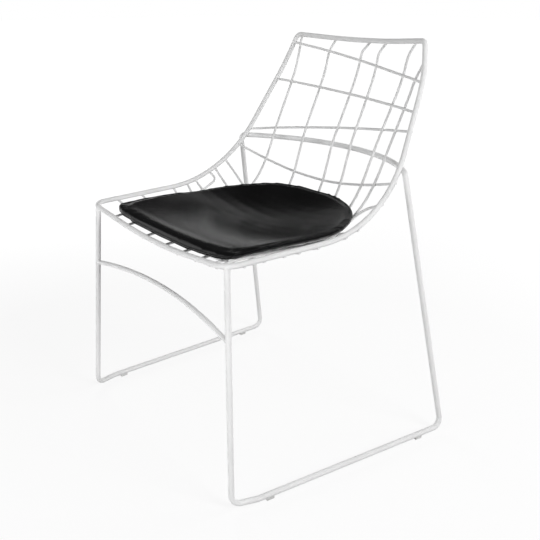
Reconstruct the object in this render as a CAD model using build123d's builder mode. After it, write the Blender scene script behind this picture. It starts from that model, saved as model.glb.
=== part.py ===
"""Wire chair: sled base, dished wire shell and seat pad. +Y is the back, +X the sitter's left."""

import os
from math import ceil, pi, radians, sin, tan

from build123d import *

os.makedirs("parts", exist_ok=True)

# Rod and wire sizes
rod_diameter = 11.0
rim_diameter = 10.0
wire_diameter = 5.0
weld_sink = 0.15
rim_weld_depth = 5.0
wire_point_spacing = 45.0

# Sled base: corner points of the bent rods, on the left side
runner_height = 10.0
front_foot_half_width = 260.0
front_foot_y = -258.9
toe_half_width = 273.0
toe_y = -208.9
rear_foot_half_width = 299.5
rear_foot_y = 259.6
foot_bend_radius = 18.0
toe_bend_radius = 60.0
leg_joint_distance = 27.0
leg_cope_depth = 1.5
rear_joint_distance = 45.0

# Cross tube behind the back, which the rear legs bend into
cross_tube_station = 430.0
cross_tube_bow = 95.0
cross_tube_bow_half_span = 132.5
cross_tube_bow_radius = 380.0
cross_tube_bend_radius = 9.0
cross_tube_bend_reach = 12.0
cross_tube_joint_distance = 14.0

# Brace between the front legs
brace_diameter = 9.0
brace_height = 317.0
brace_rise = 20.0
brace_setback = 15.0

# Rim of the shell: corner points on the left side
rim_front_half_width = 234.0
rim_front_y = -261.9
rim_front_height = 450.0
rim_front_corner_radius = 28.0
rim_front_dip = 18.0
rim_front_dip_setback = 4.0
rim_front_dip_half_span = 62.0
rim_front_dip_radius = 1100.0
rim_bend_half_width = 248.5
rim_bend_y = 85.6
rim_bend_height = 460.0
rim_bend_radius = 240.0
shoulder_half_width = 195.5
shoulder_y = 216.6
shoulder_drop = 63.0
shoulder_radius = 300.0
rim_top_half_width = 175.5
rim_top_y = 233.1
rim_top_height = 779.0
rim_top_corner_radius = 14.0
top_rail_bow = 25.0
top_rail_dip = 7.0
top_rail_bow_half_span = 58.0
top_rail_bow_radius = 460.0
front_joint_distance = 46.0
top_joint_distance = 28.0

# Dish of the shell behind the line between the two side rims, by distance along a side rim
front_dish = 17.0
seat_dish = 66.0
back_dish = 20.0
seat_dish_station = 324.0
back_dish_station = 469.0

# Lengthwise wires: sideways place at the front rim, at the tail station, at the top and on the top rail
tail_station = 340.0
top_bend_distance = 27.0
lengthwise_wires = {
    "lengthwise_wire_1": (-107.0, -144.5, -165.0, -167.0),
    "lengthwise_wire_2": (-38.0, -57.0, -83.5, -78.0),
    "lengthwise_wire_3": (27.0, 29.5, 7.0, 15.0),
    "lengthwise_wire_4": (85.0, 84.0, 54.0, 60.0),
    "lengthwise_wire_5": (143.0, 143.0, 139.0, 147.0),
}

# Lengthwise wires that end at a side rim: sideways places, and the end's place along the rim
side_wire = (186.0, 179.5, 174.0)
side_wire_top_distance = 31.0
left_edge_wire = (206.0, 192.0, 192.0)
left_edge_wire_end = 357.0
right_edge_wire = (-156.0, -225.0, -225.0)
right_edge_wire_end = 307.0
edge_wire_bend = {"left_edge_wire": 15.0, "right_edge_wire": 8.0}

# Cross wires: distance along the right and the left side rim, and how far the middle arches up;
# the distances of the upper back wires are from the top of the rim
upper_back_wires = {
    "back_cross_wire_1": (19.0, 79.0, 5.5),
    "back_cross_wire_2": (108.0, 137.5, 9.5),
}
lower_back_wires = {
    "back_cross_wire_3": (446.0, 506.0, 14.0),
    "back_cross_wire_4": (402.5, 404.5, -12.0),
}
seat_cross_wires = {
    "seat_cross_wire_1": (355.0, 285.0, -29.0),
    "seat_cross_wire_2": (323.0, 254.0, -24.0),
    "seat_cross_wire_3": (267.0, 191.0, -5.0),
    "seat_cross_wire_4": (244.0, 149.0, -15.0),
    "seat_cross_wire_5": (207.0, 118.0, -8.0),
    "seat_cross_wire_6": (122.0, 76.0, 0.0),
    "seat_cross_wire_7": (62.0, 36.0, 0.0),
}
cross_wire_side_share = 0.9

# Seat pad, by distance along a side rim
pad_front_station = 16.8
pad_rear_station = 369.3
pad_front_shift = 12.7
pad_rear_shift = 21.5
pad_front_half_width = 193.0
pad_rear_half_width = 197.0
pad_side_bow = 15.6
pad_front_depth = 29.8
pad_front_fullness = (3.5, 5.06)
pad_rear_depth = 161.6
pad_rear_fullness = (2.85, 2.74)
pad_edge_height = 9.5
pad_crown = 6.5
pad_edge_bulge = 1.5
pad_wire_clearance = 0.8
pad_edge_lift = 5.7
pad_cover_thickness = 1.5
pad_foam_clearance = 0.3
pad_front_shares = (0.01, 0.04, 0.1, 0.2, 0.35, 0.6, 1.0)
pad_section_spacing = 22.0
pad_rear_shares = (0.85, 0.7, 0.56, 0.44, 0.33, 0.23, 0.15, 0.09, 0.05, 0.02, 0.005)

# Floor glides, in a hollow of which the runners lie
glide_length = 16.0
glide_width = 7.0
glide_clearance = 0.1
front_glide_distance = 26.0
rear_glide_distance = 66.0

rod_radius = rod_diameter / 2
rim_radius = rim_diameter / 2
wire_radius = wire_diameter / 2
straight_limit = 0.15
arc_share = 0.45
arc_room = 0.98
pieces = {}


def mirrored(points):
    """The same points on the other side of the chair."""
    return [Vector(-point.X, point.Y, point.Z) for point in points]


def towards(start, goal, distance):
    """The point at a distance from start on the way to goal."""
    return start + (goal - start).normalized() * distance


def turn_at(before, corner, after):
    """The angle in degrees by which a route turns at a corner."""
    return (corner - before).get_angle(after - corner)


def bent_line(corners, radii):
    """Straight runs between corner points, joined by tangent arcs that fit on the runs."""
    reaches = [0.0]
    for before, corner, after, radius in zip(corners, corners[1:], corners[2:], radii):
        reaches.append(radius * tan(radians(turn_at(before, corner, after) / 2)))
    reaches.append(0.0)
    shares = []
    for start, end, start_reach, end_reach in zip(corners, corners[1:], reaches, reaches[1:]):
        shares.append(min(1.0, arc_room * (end - start).length / (start_reach + end_reach)))
    fitting = [radius * min(pair) for radius, pair in zip(radii, zip(shares, shares[1:]))]
    with BuildLine():
        line = FilletPolyline(*corners, radius=fitting)
    return line


def rod(name, path, diameter, coped_to=()):
    """A round rod along a path, cut to fit the rods that it meets, kept under its name."""
    with BuildPart() as piece:
        with BuildSketch(Plane(origin=path @ 0, z_dir=path % 0)):
            Circle(diameter / 2)
        sweep(path=path)
        for other in coped_to:
            add(pieces[other], mode=Mode.SUBTRACT)
    pieces[name] = piece.part


def without_straight_points(points):
    """Leaves out the points at which a route hardly turns."""
    kept = [points[0]]
    for point, after in zip(points[1:-1], points[2:]):
        if turn_at(kept[-1], point, after) > straight_limit:
            kept.append(point)
    return kept + [points[-1]]


def arc_reach(before, corner, after):
    """How far from its corner an arc starts, as a share of the shorter run."""
    return arc_share * min((corner - before).length, (after - corner).length)


def wire_line(points):
    """A smooth bent line whose arcs pass through the points."""
    points = without_straight_points(points)
    corners = [points[0]]
    for before, point, after in zip(points, points[1:], points[2:]):
        half_turn = radians(turn_at(before, point, after) / 2)
        inward = ((before - point).normalized() + (after - point).normalized()).normalized()
        corners.append(point - inward * arc_reach(before, point, after) * tan(half_turn / 2))
    corners.append(points[-1])
    radii = []
    for before, corner, after in zip(corners, corners[1:], corners[2:]):
        half_turn = radians(turn_at(before, corner, after) / 2)
        radii.append(arc_reach(before, corner, after) / tan(half_turn))
    return bent_line(corners, radii)


def at_x(path, x):
    """Point and direction of a path that runs from the left to the right side, where it passes x."""
    low, high = 0.0, 1.0
    for _ in range(40):
        middle = (low + high) / 2
        if (path @ middle).X > x:
            low = middle
        else:
            high = middle
    return path @ low, path % low


# Rim of the shell
rim_front = Vector(rim_front_half_width, rim_front_y, rim_front_height)
rim_bend = Vector(rim_bend_half_width, rim_bend_y, rim_bend_height)
shoulder = Vector(shoulder_half_width, shoulder_y, rim_top_height - shoulder_drop)
rim_top = Vector(rim_top_half_width, rim_top_y, rim_top_height)
front_dip_point = Vector(
    rim_front_dip_half_span, rim_front_y + rim_front_dip_setback, rim_front_height - rim_front_dip
)
top_bow_point = Vector(top_rail_bow_half_span, rim_top_y + top_rail_bow, rim_top_height - top_rail_dip)
front_joint = towards(rim_front, rim_bend, front_joint_distance)
top_joint = towards(rim_top, shoulder, top_joint_distance)
side_radii = [rim_bend_radius, shoulder_radius]

side_line = bent_line([rim_front, rim_bend, shoulder, rim_top], side_radii)
side_rim_corners = [front_joint, rim_bend, shoulder, top_joint]
front_rim_corners = [front_joint, rim_front, front_dip_point]
top_rail_corners = [top_joint, rim_top, top_bow_point]
front_rim_line = bent_line(
    front_rim_corners + mirrored(front_rim_corners[::-1]),
    [rim_front_corner_radius, rim_front_dip_radius, rim_front_dip_radius, rim_front_corner_radius],
)
top_rail_line = bent_line(
    top_rail_corners + mirrored(top_rail_corners[::-1]),
    [rim_top_corner_radius, top_rail_bow_radius, top_rail_bow_radius, rim_top_corner_radius],
)
rod("front_rim", front_rim_line, rim_diameter)
rod("top_rail", top_rail_line, rim_diameter)
rod("left_side_rim", bent_line(side_rim_corners, side_radii), rim_diameter)
rod("right_side_rim", bent_line(mirrored(side_rim_corners), side_radii), rim_diameter)


# Shell surface that the wires follow, between the two side rims
def smooth_step(share):
    """Rises from 0 to 1 without a kink."""
    share = min(max(share, 0.0), 1.0)
    return share * share * (3 - 2 * share)


def dish(station):
    """Depth of the shell's middle behind the side rims."""
    if station < seat_dish_station:
        return front_dish + (seat_dish - front_dish) * smooth_step(station / seat_dish_station)
    back_share = (back_dish_station - station) / (back_dish_station - seat_dish_station)
    return back_dish + (seat_dish - back_dish) * smooth_step(back_share)


def rim_at(station, side=1):
    """Point and direction of a side rim at a distance from its front corner."""
    point = side_line.position_at(station, PositionMode.LENGTH)
    along = side_line.tangent_at(station, PositionMode.LENGTH)
    return Vector(side * point.X, point.Y, point.Z), Vector(side * along.X, along.Y, along.Z)


def behind(station):
    """Direction away from the sitter, square to the side rims."""
    along = rim_at(station)[1]
    return Vector(0, along.Z, -along.Y).normalized()


def depth_at(station, x):
    """Depth of the shell behind the side rims at a sideways place."""
    return dish(station) * (1 - (x / rim_at(station)[0].X) ** 2)


def shell_point(station, x):
    """Point of the shell."""
    rim_point = rim_at(station)[0]
    return Vector(x, rim_point.Y, rim_point.Z) + behind(station) * depth_at(station, x)


def shell_normal(station, x):
    """Direction away from the sitter, square to the shell."""
    lengthwise = shell_point(station + 1, x) - shell_point(station - 1, x)
    sideways = shell_point(station, x + 1) - shell_point(station, x - 1)
    return lengthwise.cross(sideways).normalized()


def lengthwise_x(places, station):
    """Sideways place of a lengthwise wire."""
    front_x, tail_x, top_x = places[:3]
    if station < tail_station:
        return front_x + (tail_x - front_x) * station / tail_station
    return tail_x + (top_x - tail_x) * (station - tail_station) / (side_line.length - tail_station)


def cross_station(ends, x):
    """Distance along the rims at which a cross wire passes a sideways place."""
    right_station, left_station, arch = ends
    right_x = -rim_at(right_station)[0].X
    left_x = rim_at(left_station)[0].X
    share = (x - right_x) / (left_x - right_x)
    return right_station + (left_station - right_station) * share + 4 * arch * share * (1 - share)


def crossing(places, ends):
    """Station and sideways place where a lengthwise wire meets a cross wire."""
    station = (ends[0] + ends[1]) / 2
    for _ in range(8):
        x = lengthwise_x(places, station)
        station = cross_station(ends, x)
    return station, x


def welded_tip(before, rod_point, rod_direction, away, distance):
    """End of a wire that meets a rod on the side away from the sitter and is welded to it."""
    across = rod_direction.cross(rod_point - before).normalized()
    if across.dot(away) < 0:
        across = -across
    return rod_point + across * distance


rim_pieces = ["front_rim", "left_side_rim", "right_side_rim", "top_rail"]
wire_on_wire = wire_diameter - weld_sink
side_wire_end = side_line.length - side_wire_top_distance
cross_wires = lower_back_wires | seat_cross_wires
for name, (right_distance, left_distance, arch) in upper_back_wires.items():
    cross_wires[name] = (side_line.length - right_distance, side_line.length - left_distance, arch)
wire_crossings = {name: [] for name in cross_wires}


def cross_point(name, station, x):
    """Point of a cross wire, before or behind the lengthwise wires."""
    side = -1 if name in upper_back_wires else 1
    return shell_point(station, x) + shell_normal(station, x) * wire_on_wire * side


def lengthwise_points(places, last_station):
    """Points of a lengthwise wire from front to back, noted for the cross wires that it meets."""
    met = {}
    for name, ends in cross_wires.items():
        station, x = crossing(places, ends)
        if station < last_station:
            met[station] = (name, x)
    points = []
    stations = sorted(met)
    for station, following in zip(stations, stations[1:] + stations[-1:]):
        name, x = met[station]
        if not points or (shell_point(station, x) - points[-1]).length > wire_diameter:
            points.append(shell_point(station, x))
        wire_crossings[name].append(cross_point(name, station, x))
        runs = ceil((following - station) / wire_point_spacing)
        for run in range(1, runs):
            between = station + (following - station) * run / runs
            points.append(shell_point(between, lengthwise_x(places, between)))
    front_point, front_direction = at_x(front_rim_line, places[0])
    front_tip = welded_tip(points[0], front_point, front_direction, Vector(0, 0, -1), rim_weld_depth)
    return [front_tip] + points, max(met)


# Lengthwise wires, welded under the front rim and behind the top rail
top_bend_station = side_line.length - top_bend_distance
for name, places in lengthwise_wires.items():
    points, last_met = lengthwise_points(places, side_line.length)
    if last_met < top_bend_station - wire_diameter:
        points.append(shell_point(top_bend_station, lengthwise_x(places, top_bend_station)))
    rail_point, rail_direction = at_x(top_rail_line, places[3])
    top_tip = welded_tip(points[-1], rail_point, rail_direction, Vector(0, 1, 0), rim_weld_depth)
    rod(name, wire_line(points + [top_tip]), wire_diameter, rim_pieces)

# Lengthwise wires that end behind a side rim
points, _ = lengthwise_points(side_wire, side_wire_end)
rim_point, rim_direction = rim_at(side_wire_end)
side_tip = welded_tip(points[-1], rim_point, rim_direction, behind(side_wire_end), rim_weld_depth)
rod("side_wire", wire_line(points + [side_tip]), wire_diameter, rim_pieces)

for name, places, end, side in (
    ("left_edge_wire", left_edge_wire, left_edge_wire_end, 1),
    ("right_edge_wire", right_edge_wire, right_edge_wire_end, -1),
):
    bend_station = end - edge_wire_bend[name]
    points, last_met = lengthwise_points(places, bend_station - wire_diameter)
    points.append(shell_point(bend_station, lengthwise_x(places, bend_station)))
    rim_point, rim_direction = rim_at(end, side)
    rim_tip = welded_tip(points[-1], rim_point, rim_direction, behind(end), rim_weld_depth)
    rod(name, wire_line(points + [rim_tip]), wire_diameter, rim_pieces)

# Cross wires: the upper ones in front and between the rims, the others behind and under the rims
for name, ends in cross_wires.items():
    points = wire_crossings[name]
    tips = []
    for side, station in ((-1, ends[0]), (1, ends[1])):
        rim_point, rim_direction = rim_at(station, side)
        x = rim_point.X * cross_wire_side_share
        before = cross_point(name, cross_station(ends, x), x)
        if min((point - before).length for point in points) > 3 * wire_diameter:
            points.append(before)
        tips.append(rim_point)
        if name not in upper_back_wires:
            tips[-1] = welded_tip(before, rim_point, rim_direction, behind(station), rim_weld_depth)
    points = [tips[0]] + sorted(points, key=lambda point: point.X) + [tips[1]]
    rod(name, wire_line(points), wire_diameter, rim_pieces)

# Sled base, with the rear legs bent into the cross tube behind the rim
front_foot = Vector(front_foot_half_width, front_foot_y, runner_height)
toe = Vector(toe_half_width, toe_y, runner_height)
rear_foot = Vector(rear_foot_half_width, rear_foot_y, runner_height)
rim_corner_arc = front_rim_line.edges().filter_by(GeomType.CIRCLE).sort_by(Axis.X)[-1]
front_leg_top = (rim_corner_arc @ 0.5) - Vector(0, 0, leg_cope_depth)
leg_joint = towards(front_foot, toe, leg_joint_distance)
rear_joint = towards(rear_foot, toe, rear_joint_distance)

tube_on_rim = rim_radius + rod_radius - weld_sink
rim_point, rim_direction = rim_at(cross_tube_station)
tube_seat = rim_point + behind(cross_tube_station) * tube_on_rim
for _ in range(5):
    tube_bow = Vector(cross_tube_bow_half_span, rim_point.Y + cross_tube_bow, tube_seat.Z)
    across = rim_direction.cross(tube_seat - tube_bow).normalized()
    if across.Y < 0:
        across = -across
    tube_seat = rim_point + across * tube_on_rim
rear_leg_top = towards(tube_seat, tube_bow, -cross_tube_bend_reach)
tube_joint = towards(rear_leg_top, tube_bow, cross_tube_joint_distance)

front_leg_corners = [front_leg_top, front_foot, leg_joint]
runner_corners = [leg_joint, toe, rear_joint]
rear_leg_corners = [rear_joint, rear_foot, rear_leg_top, tube_joint]
cross_tube_corners = [tube_joint, tube_bow] + mirrored([tube_bow, tube_joint])
rear_leg_radii = [foot_bend_radius, cross_tube_bend_radius]

for side, place in (("left", list), ("right", mirrored)):
    leg_line = bent_line(place(front_leg_corners), [foot_bend_radius])
    rod(side + "_front_leg", leg_line, rod_diameter, ["front_rim"])
    rod(side + "_runner", bent_line(place(runner_corners), [toe_bend_radius]), rod_diameter)
    rod(side + "_rear_leg", bent_line(place(rear_leg_corners), rear_leg_radii), rod_diameter)
rod("rear_cross_tube", bent_line(cross_tube_corners, [cross_tube_bow_radius] * 2), rod_diameter)

# Arched brace, coped to the front legs
brace_share = (brace_height - runner_height) / (front_leg_top.Z - runner_height)
brace_end = front_foot + (front_leg_top - front_foot) * brace_share
brace_middle = Vector(0, brace_end.Y + brace_setback, brace_height + brace_rise)
with BuildLine():
    brace_line = ThreePointArc(brace_end, brace_middle, mirrored([brace_end])[0])
rod("front_brace", brace_line, brace_diameter, ["left_front_leg", "right_front_leg"])

# Floor glides: low saddles under the runners
glide_places = {
    "front_glide": towards(toe, rear_foot, front_glide_distance),
    "rear_glide": towards(rear_foot, toe, rear_glide_distance),
}
for side, place in (("left", list), ("right", mirrored)):
    start, end = place([toe, rear_foot])
    along = (end - start).normalized()
    for name, middle in glide_places.items():
        centre = place([middle])[0]
        glide_plane = Plane(
            origin=centre - along * (glide_length / 2),
            x_dir=Vector(0, 0, 1).cross(along),
            z_dir=along,
        )
        with BuildPart() as glide:
            with BuildSketch(glide_plane):
                with Locations((0, -runner_height / 2)):
                    Rectangle(glide_width, runner_height)
                Circle(rod_radius + glide_clearance, mode=Mode.SUBTRACT)
            extrude(amount=glide_length)
        pieces[f"{side}_{name}"] = glide.part


# Seat pad, which lies on the lengthwise wires
pad_length = pad_rear_station - pad_front_station


def rounded(distance, depth, fullness):
    """Share of the full width at a distance from an end that is rounded over a depth."""
    if distance >= depth:
        return 1.0
    return (1 - (1 - distance / depth) ** fullness[0]) ** (1 / fullness[1])


def pad_half(station):
    """Half width of the pad, rounded at the front corners and along the rear edge."""
    from_front = station - pad_front_station
    to_rear = pad_rear_station - station
    share = from_front / (from_front + to_rear)
    half = pad_front_half_width + (pad_rear_half_width - pad_front_half_width) * share
    half += 4 * pad_side_bow * share * (1 - share)
    half *= rounded(from_front, pad_front_depth, pad_front_fullness)
    return half * rounded(to_rear, pad_rear_depth, pad_rear_fullness)


def pad_sections():
    """Distances along the rim of the pad's sections, close together where the outline turns."""
    straight_start = pad_front_station + pad_front_depth
    straight_end = pad_rear_station - pad_rear_depth
    stations = [pad_front_station + share * pad_front_depth for share in pad_front_shares]
    runs = ceil((straight_end - straight_start) / pad_section_spacing)
    for run in range(1, runs + 1):
        stations.append(straight_start + (straight_end - straight_start) * run / runs)
    return stations + [pad_rear_station - share * pad_rear_depth for share in pad_rear_shares]


def pad_body(inset):
    """The pad's closed form, inset from the outside of its cover."""
    lift = wire_radius + pad_wire_clearance + inset
    edge = pad_edge_height - 2 * inset
    length_share = 1 - 2 * inset / pad_length
    with BuildPart() as body:
        for outer_station in pad_sections():
            half = pad_half(outer_station) - inset - pad_edge_bulge
            station = pad_front_station + inset + (outer_station - pad_front_station) * length_share
            rim_point, along = rim_at(station)
            crown = pad_crown * half / pad_front_half_width
            share = (outer_station - pad_front_station) / pad_length
            shift = pad_front_shift + (pad_rear_shift - pad_front_shift) * share
            edge_lift = lift + pad_edge_lift * sin(pi * share)
            left = Vector(shift + half, edge_lift - depth_at(station, shift + half))
            middle = Vector(shift, lift - depth_at(station, shift))
            right = Vector(shift - half, edge_lift - depth_at(station, shift - half))
            up = Vector(0, edge)
            bulge = Vector(pad_edge_bulge, edge / 2)
            inner_bulge = Vector(-pad_edge_bulge, edge / 2)
            plane = Plane(
                origin=(0, rim_point.Y, rim_point.Z), x_dir=(1, 0, 0), z_dir=(0, -along.Y, -along.Z)
            )
            with BuildSketch(plane):
                with BuildLine():
                    ThreePointArc(right, middle, left)
                    ThreePointArc(left, left + bulge, left + up)
                    ThreePointArc(left + up, middle + up + Vector(0, crown), right + up)
                    ThreePointArc(right + up, right + inner_bulge, right)
                make_face()
        loft(ruled=True)
    return body.part


with BuildPart() as pad_cover:
    add(pad_body(0))
    add(pad_body(pad_cover_thickness), mode=Mode.SUBTRACT)
pieces["pad_cover"] = pad_cover.part
pieces["pad_foam"] = pad_body(pad_cover_thickness + pad_foam_clearance)

for name, piece in pieces.items():
    piece.label = name
    export_step(piece, f"parts/{name}.step")
print(len(pieces), "pieces")
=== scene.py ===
"""White wire chair with a black seat pad, in a plain white studio.

Lengths are in metres, in the frame's own axes: +Z up, and the chair faces -Y.
"""

import math

import bmesh
import bpy
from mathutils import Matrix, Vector


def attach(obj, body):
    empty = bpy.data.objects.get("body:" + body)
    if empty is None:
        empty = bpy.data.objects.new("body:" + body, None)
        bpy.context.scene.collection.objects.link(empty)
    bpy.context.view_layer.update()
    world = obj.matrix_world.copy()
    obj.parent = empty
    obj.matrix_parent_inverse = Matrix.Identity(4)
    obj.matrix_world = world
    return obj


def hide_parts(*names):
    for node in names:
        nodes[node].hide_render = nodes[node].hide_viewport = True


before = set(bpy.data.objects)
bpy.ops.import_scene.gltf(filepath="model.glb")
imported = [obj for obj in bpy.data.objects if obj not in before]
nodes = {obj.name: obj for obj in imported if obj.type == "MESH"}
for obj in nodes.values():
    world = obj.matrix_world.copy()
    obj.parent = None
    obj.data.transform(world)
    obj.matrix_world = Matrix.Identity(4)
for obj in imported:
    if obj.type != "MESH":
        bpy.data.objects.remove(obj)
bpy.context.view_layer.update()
scene = bpy.context.scene

# White powder coat
coat_colours = (0.80, 0.80, 0.80), (0.86, 0.86, 0.86)
coat_roughness = 0.26, 0.40
coat_tone_scale = 14.0
coat_peel_scale = 900.0
coat_peel_depth = 0.00012
coat_peel_strength = 0.35

# Black leather
leather_colours = (0.0028, 0.0028, 0.003), (0.0056, 0.0056, 0.0059)
leather_roughness = 0.17, 0.26
leather_specular = 0.35
leather_wear_scale = 9.0
pebble_scale = 620.0
pebble_rim = 0.18
pebble_depth = 0.00010
pebble_strength = 0.30
crease_scale = 160.0
crease_roughness = 0.6
crease_depth = 0.00025
crease_strength = 0.25

# Milky plastic of the glides
glide_colours = (0.66, 0.66, 0.65), (0.74, 0.74, 0.73)
glide_roughness = 0.42, 0.58
glide_tone_scale = 60.0
glide_grain_scale = 2500.0
glide_grain_depth = 0.0001
glide_grain_strength = 0.4
glide_scatter_weight = 0.08
glide_scatter_radius = 0.004

# Where a two-colour ramp starts and ends within a texture's values
ramp_start = 0.35
ramp_end = 0.65

# Edges that turn by more than this stay sharp on the frame
sharp_angle = math.radians(40)

# Seat pad
merge_distance = 1e-5
pad_voxel = 0.004
cloth_pressure = 4.0
cloth_quality = 6
cloth_frames = 20
swell_limit = 0.0022
edge_growth = 0.0018
front_plump = 0.003
front_plump_reach = 0.035
plumped_facing = 0.4
smoothing_rounds = 8
smoothing_in = 0.5
smoothing_out = -0.52

# Welt round the pad's top panel
panel_facing = 0.9
panel_turn_limit = math.radians(25)
welt_radius = 0.0011
welt_lift = 0.2 * welt_radius
welt_spacing = 0.006
welt_easing_rounds = 3

# Floor
floor_size = 60
floor_light_grey = 0.35
floor_light_roughness = 0.9
floor_light_specular = 0.1
floor_shadow_grey = 0.16
floor_glow_near = 0.83
floor_glow_far = 1.0
floor_glow_start = 0.8
floor_glow_end = 3.5

# World
fill_strength = 0.20
sweep_strength = 1.0
studio_strength = 0.06
sweep_top = math.sin(math.radians(2))
studio_start = math.sin(math.radians(11))

# What the lamps point at
seat_middle = (0.0, 0.0, 0.45)
legs_middle = (-0.1, 0.0, 0.2)

# Camera, fitted to the photograph
camera_place = (1.0896, -0.8998, 0.8506)
camera_goal = (0.0, -0.1715, 0.3685)
camera_lens = 47.824
camera_shift = 0.1461, -0.0119


# Shader nodes
def grey(value):
    """An opaque grey."""
    return (value, value, value, 1)


def new_material(name):
    """An empty node material with its principled shader."""
    material = bpy.data.materials.new(name)
    material.use_nodes = True
    return material, material.node_tree, material.node_tree.nodes["Principled BSDF"]


def add_node(tree, kind, inputs=None, **properties):
    """A shader node with some of its inputs and properties set."""
    node = tree.nodes.new(kind)
    for name, value in (inputs or {}).items():
        node.inputs[name].default_value = value
    for name, value in properties.items():
        setattr(node, name, value)
    return node


def in_place(tree, texture):
    """The texture in object space, so that its grain has a real size."""
    place = add_node(tree, "ShaderNodeTexCoord")
    tree.links.new(place.outputs["Object"], texture.inputs["Vector"])
    return texture


def noise(tree, scale, detail, roughness=0.5):
    """A noise texture's value."""
    inputs = {"Scale": scale, "Detail": detail, "Roughness": roughness}
    return in_place(tree, add_node(tree, "ShaderNodeTexNoise", inputs)).outputs["Fac"]


def spread(tree, source, low, high, start=0.0, end=1.0, **properties):
    """A value mapped from start and end to low and high."""
    inputs = {"From Min": start, "From Max": end, "To Min": low, "To Max": high}
    node = add_node(tree, "ShaderNodeMapRange", inputs, **properties)
    tree.links.new(source, node.inputs["Value"])
    return node.outputs["Result"]


def vary(tree, shader, source, colours, roughness):
    """Lets a texture vary the shader's colour and roughness."""
    ramp = add_node(tree, "ShaderNodeValToRGB")
    for stop, position, colour in zip(ramp.color_ramp.elements, (ramp_start, ramp_end), colours):
        stop.position = position
        stop.color = (*colour, 1)
    tree.links.new(source, ramp.inputs["Fac"])
    tree.links.new(ramp.outputs["Color"], shader.inputs["Base Color"])
    tree.links.new(spread(tree, source, *roughness), shader.inputs["Roughness"])


def bump(tree, source, depth, strength, after=None):
    """A bump from a texture, on top of another one if there is one."""
    node = add_node(tree, "ShaderNodeBump", {"Distance": depth, "Strength": strength})
    tree.links.new(source, node.inputs["Height"])
    if after:
        tree.links.new(after, node.inputs["Normal"])
    return node.outputs["Normal"]


def highest(tree, first, *others):
    """The largest of several values."""
    for other in others:
        node = add_node(tree, "ShaderNodeMath", operation="MAXIMUM")
        tree.links.new(first, node.inputs[0])
        tree.links.new(other, node.inputs[1])
        first = node.outputs[0]
    return first


def mixed(tree, share, first, second):
    """Two shaders mixed by a share."""
    node = add_node(tree, "ShaderNodeMixShader")
    tree.links.new(share, node.inputs["Fac"])
    tree.links.new(first, node.inputs[1])
    tree.links.new(second, node.inputs[2])
    return node.outputs["Shader"]


# Materials
def powder_coat():
    """White powder-coated steel: fine orange peel, with faint unevenness of tone."""
    material, tree, shader = new_material("white_powder_coat")
    tone = noise(tree, coat_tone_scale, detail=4.0)
    vary(tree, shader, tone, coat_colours, coat_roughness)
    peel = noise(tree, coat_peel_scale, detail=2.0)
    relief = bump(tree, peel, coat_peel_depth, coat_peel_strength)
    tree.links.new(relief, shader.inputs["Normal"])
    return material


def leather():
    """Black coated leather: pebbled grain, creases and worn patches of gloss."""
    material, tree, shader = new_material("black_leather")
    wear = noise(tree, leather_wear_scale, detail=3.0)
    vary(tree, shader, wear, leather_colours, leather_roughness)
    pebble = add_node(
        tree, "ShaderNodeTexVoronoi", {"Scale": pebble_scale}, feature="DISTANCE_TO_EDGE"
    )
    distance = in_place(tree, pebble).outputs["Distance"]
    cells = spread(tree, distance, 0.0, 1.0, end=pebble_rim)
    grain = bump(tree, cells, pebble_depth, pebble_strength)
    crease = noise(tree, crease_scale, detail=5.0, roughness=crease_roughness)
    relief = bump(tree, crease, crease_depth, crease_strength, after=grain)
    tree.links.new(relief, shader.inputs["Normal"])
    shader.inputs["Specular IOR Level"].default_value = leather_specular
    return material


def glide_plastic():
    """Milky moulded plastic with a fine eroded texture."""
    material, tree, shader = new_material("milky_plastic")
    tone = noise(tree, glide_tone_scale, detail=3.0)
    vary(tree, shader, tone, glide_colours, glide_roughness)
    grain = noise(tree, glide_grain_scale, detail=2.0)
    relief = bump(tree, grain, glide_grain_depth, glide_grain_strength)
    tree.links.new(relief, shader.inputs["Normal"])
    shader.inputs["Subsurface Weight"].default_value = glide_scatter_weight
    shader.inputs["Subsurface Radius"].default_value = (glide_scatter_radius,) * 3
    return material


white = powder_coat()
black = leather()
milky = glide_plastic()


# Frame and glides, as the CAD has them
def dress(node, material):
    """Gives a CAD node its material and smooth shading with crisp cut ends."""
    piece = nodes[node]
    piece.data.materials.clear()
    piece.data.materials.append(material)
    piece.data.shade_smooth()
    piece.data.set_sharp_from_angle(angle=sharp_angle)


for node in nodes:
    if node not in ("pad_cover", "pad_foam"):
        dress(node, milky if "glide" in node else white)


# Seat pad: a copy of the cover's outside, swollen as a stuffed piece
def outer_skin(name, node):
    """A new object with the outer shell of a hollow node."""
    mesh = nodes[node].data.copy()
    shape = bmesh.new()
    shape.from_mesh(mesh)
    bmesh.ops.remove_doubles(shape, verts=shape.verts, dist=merge_distance)
    left = set(shape.verts)
    shells = []
    while left:
        shell = {left.pop()}
        frontier = list(shell)
        while frontier:
            vert = frontier.pop()
            for edge in vert.link_edges:
                other = edge.other_vert(vert)
                if other in left:
                    left.discard(other)
                    shell.add(other)
                    frontier.append(other)
        shells.append(shell)
    outer = max(shells, key=lambda shell: max(vert.co.x for vert in shell))
    inner = [vert for vert in shape.verts if vert not in outer]
    bmesh.ops.delete(shape, geom=inner, context="VERTS")
    shape.to_mesh(mesh)
    shape.free()
    piece = bpy.data.objects.new(name, mesh)
    scene.collection.objects.link(piece)
    return piece


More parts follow.
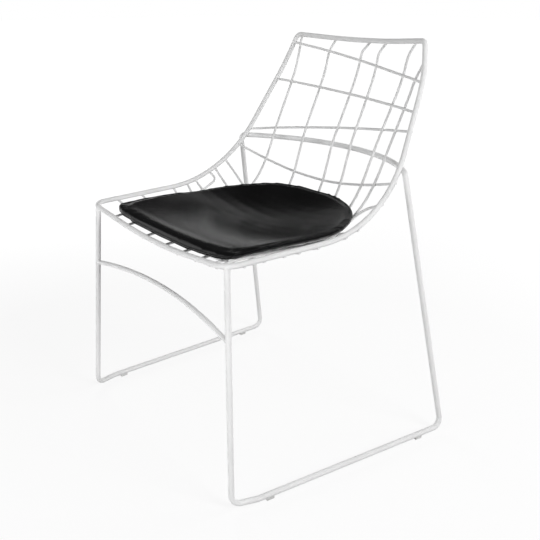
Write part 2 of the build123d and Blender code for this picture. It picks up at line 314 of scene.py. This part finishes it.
def top_edge(piece):
    """The closed line of points round the piece's top panel, in order."""
    shape = bmesh.new()
    shape.from_mesh(piece.data)
    shape.normal_update()
    facing_up = [face for face in shape.faces if face.normal.z > panel_facing]
    panel = {max(facing_up, key=lambda face: face.calc_area())}
    frontier = list(panel)
    while frontier:
        face = frontier.pop()
        for edge in face.edges:
            for other in edge.link_faces:
                if other not in panel and face.normal.angle(other.normal) < panel_turn_limit:
                    panel.add(other)
                    frontier.append(other)
    border = {}
    for face in panel:
        for edge in face.edges:
            if any(other not in panel for other in edge.link_faces):
                for vert in edge.verts:
                    border.setdefault(vert, set()).add(edge.other_vert(vert))
    start = max(border, key=lambda vert: vert.co.x)
    line = [start]
    following = min(border[start], key=lambda vert: vert.co.y)
    while following is not start:
        line.append(following)
        following = next(vert for vert in border[following] if vert is not line[-2])
    points = [vert.co.copy() for vert in line]
    shape.free()
    return points


def evened(points, spacing):
    """The same closed line with evenly spaced points, eased a little."""
    closed = points + points[:1]
    steps = [(b - a).length for a, b in zip(closed, closed[1:])]
    count = round(sum(steps) / spacing)
    even = []
    run, done = 0, 0.0
    for index in range(count):
        goal = sum(steps) * index / count
        while done + steps[run] < goal:
            done += steps[run]
            run += 1
        even.append(closed[run].lerp(closed[run + 1], (goal - done) / steps[run]))
    for _ in range(welt_easing_rounds):
        even = [
            (before + point * 2 + after) / 4
            for before, point, after in zip(even[-1:] + even, even, even[1:] + even[:1])
        ]
    return even


def apply_modifiers(piece):
    """Keeps the mesh that the modifiers give."""
    graph = bpy.context.evaluated_depsgraph_get()
    mesh = bpy.data.meshes.new_from_object(piece.evaluated_get(graph))
    piece.modifiers.clear()
    piece.data = mesh


def swell(piece):
    """Blows the piece up a little as cloth, with a limit on how far a point may go."""
    start = [vert.co.copy() for vert in piece.data.vertices]
    cloth = piece.modifiers.new("cloth", "CLOTH")
    cloth.settings.use_pressure = True
    cloth.settings.uniform_pressure_force = cloth_pressure
    cloth.settings.effector_weights.gravity = 0.0
    cloth.settings.quality = cloth_quality
    cloth.point_cache.frame_start = 1
    cloth.point_cache.frame_end = cloth_frames
    for step in range(1, cloth_frames + 1):
        scene.frame_set(step)
    apply_modifiers(piece)
    scene.frame_set(1)
    for vert, before in zip(piece.data.vertices, start):
        move = vert.co - before
        if move.length > swell_limit:
            vert.co = before + move.normalized() * swell_limit


def plump(piece):
    """Brings the edges out to the sewn outline and fills the top up to the front edge."""
    front = min(vert.co.y for vert in piece.data.vertices)
    normals = [vert.normal.copy() for vert in piece.data.vertices]
    for vert, normal in zip(piece.data.vertices, normals):
        share = 1 - (vert.co.y - front) / front_plump_reach
        if normal.z > plumped_facing and share > 0:
            vert.co.z += front_plump * share * share * (3 - 2 * share)
        vert.co.x += edge_growth * normal.x
        vert.co.y += edge_growth * normal.y


pad = outer_skin("seat_pad", "pad_cover")
welt_points = evened(top_edge(pad), welt_spacing)
remesh = pad.modifiers.new("remesh", "REMESH")
remesh.mode = "VOXEL"
remesh.voxel_size = pad_voxel
remesh.use_smooth_shade = True
apply_modifiers(pad)
swell(pad)
plump(pad)
# Smoothing in and out by turns evens the surface and doesn't shrink the thin edges
for factor in (smoothing_in, smoothing_out) * smoothing_rounds:
    smooth = pad.modifiers.new("smooth", "SMOOTH")
    smooth.factor = factor
    smooth.iterations = 1
finer = pad.modifiers.new("finer", "SUBSURF")
finer.levels = 1
finer.render_levels = 1
apply_modifiers(pad)
pad.data.materials.clear()
pad.data.materials.append(black)
pad.data.shade_smooth()
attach(pad, "root")
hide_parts("pad_cover", "pad_foam")

# Welt along the sewn top edge of the pad
welt_data = bpy.data.curves.new("pad_welt", "CURVE")
welt_data.dimensions = "3D"
welt_data.bevel_depth = welt_radius
welt_data.bevel_resolution = 3
welt_data.materials.append(black)
welt_line = welt_data.splines.new("NURBS")
welt_line.points.add(len(welt_points) - 1)
for welt_point, point in zip(welt_line.points, welt_points):
    _, surface, normal, _ = pad.closest_point_on_mesh(point)
    welt_point.co = (*(surface + normal * welt_lift), 1)
welt_line.use_cyclic_u = True
welt_line.order_u = 3
welt = bpy.data.objects.new("pad_welt", welt_data)
scene.collection.objects.link(welt)
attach(welt, "root")


# Floor and world
def shows_background(tree, rays):
    """1 for the rays that show the white background: camera, glossy and transmission rays."""
    kinds = "Is Camera Ray", "Is Glossy Ray", "Is Transmission Ray"
    return highest(tree, *(rays.outputs[kind] for kind in kinds))


def paper():
    """White to the camera but for a faint shadow, and grey as a light on the object.

    The glow grows with the distance, so that the floor meets the background without a line.
    """
    material, tree, shader = new_material("white_paper")
    shader.inputs["Base Color"].default_value = grey(floor_light_grey)
    shader.inputs["Roughness"].default_value = floor_light_roughness
    shader.inputs["Specular IOR Level"].default_value = floor_light_specular
    place = add_node(tree, "ShaderNodeTexCoord")
    reach = add_node(tree, "ShaderNodeVectorMath", operation="LENGTH")
    tree.links.new(place.outputs["Object"], reach.inputs[0])
    brightness = spread(
        tree, reach.outputs["Value"], floor_glow_near, floor_glow_far,
        floor_glow_start, floor_glow_end,
    )
    glow = add_node(tree, "ShaderNodeEmission", {"Color": grey(1)})
    tree.links.new(brightness, glow.inputs["Strength"])
    matte = add_node(tree, "ShaderNodeBsdfDiffuse", {"Color": grey(floor_shadow_grey)})
    lit = add_node(tree, "ShaderNodeAddShader")
    tree.links.new(glow.outputs["Emission"], lit.inputs[0])
    tree.links.new(matte.outputs["BSDF"], lit.inputs[1])
    shown = shows_background(tree, add_node(tree, "ShaderNodeLightPath"))
    surface = mixed(tree, shown, shader.outputs["BSDF"], lit.outputs["Shader"])
    tree.links.new(surface, tree.nodes["Material Output"].inputs["Surface"])
    return material


def studio():
    """White to the camera, and a low white sweep under a dim studio to reflections."""
    world = bpy.data.worlds.new("studio")
    world.use_nodes = True
    tree = world.node_tree
    tree.nodes.clear()
    direction = add_node(tree, "ShaderNodeTexCoord")
    height = add_node(tree, "ShaderNodeSeparateXYZ")
    tree.links.new(direction.outputs["Generated"], height.inputs["Vector"])
    dimming = spread(
        tree, height.outputs["Z"], sweep_strength, studio_strength, sweep_top, studio_start,
        interpolation_type="SMOOTHSTEP",
    )
    rays = add_node(tree, "ShaderNodeLightPath")
    strength = highest(
        tree, rays.outputs["Is Camera Ray"], rays.outputs["Is Transmission Ray"], dimming
    )
    seen = add_node(tree, "ShaderNodeBackground", {"Color": grey(1)})
    tree.links.new(strength, seen.inputs["Strength"])
    fill = add_node(tree, "ShaderNodeBackground", {"Color": grey(1), "Strength": fill_strength})
    shown = shows_background(tree, rays)
    surface = mixed(tree, shown, fill.outputs["Background"], seen.outputs["Background"])
    out = add_node(tree, "ShaderNodeOutputWorld")
    tree.links.new(surface, out.inputs["Surface"])
    return world


bpy.ops.mesh.primitive_plane_add(size=floor_size, location=(0, 0, 0))
floor = bpy.context.object
floor.name = "floor"
floor.data.materials.append(paper())
scene.world = studio()


# Lights
def aim(thing, goal):
    """Turns a lamp or camera towards a goal."""
    thing.rotation_euler = (Vector(goal) - thing.location).to_track_quat("-Z", "Y").to_euler()


def area_light(name, place, goal, size, power, in_reflections=False):
    """A soft square lamp that points at a goal."""
    data = bpy.data.lights.new(name, "AREA")
    data.shape = "SQUARE"
    data.size = size
    data.energy = power
    lamp = bpy.data.objects.new(name, data)
    lamp.location = place
    lamp.visible_glossy = in_reflections
    aim(lamp, goal)
    scene.collection.objects.link(lamp)


area_light("key", (2.3, 0.4, 1.7), seat_middle, size=1.2, power=40)
area_light("front", (0.4, -2.05, 0.4), legs_middle, size=1.2, power=29)
area_light("rear", (-1.31, 1.14, 1.8), seat_middle, size=0.5, power=0.5, in_reflections=True)
area_light("back", (0.9, 2.5, 1.3), seat_middle, size=1.4, power=28)
area_light("left", (-2.5, 0.5, 1.2), seat_middle, size=1.4, power=28)

# Camera at the photograph's viewing angle
camera_data = bpy.data.cameras.new("camera")
camera_data.sensor_width = 36.0
camera_data.lens = camera_lens
camera_data.shift_x, camera_data.shift_y = camera_shift
camera_data.clip_start = 0.01
camera_data.clip_end = 100
camera = bpy.data.objects.new("camera", camera_data)
camera.location = camera_place
aim(camera, camera_goal)
scene.collection.objects.link(camera)
scene.camera = camera

scene.view_settings.view_transform = "Standard"
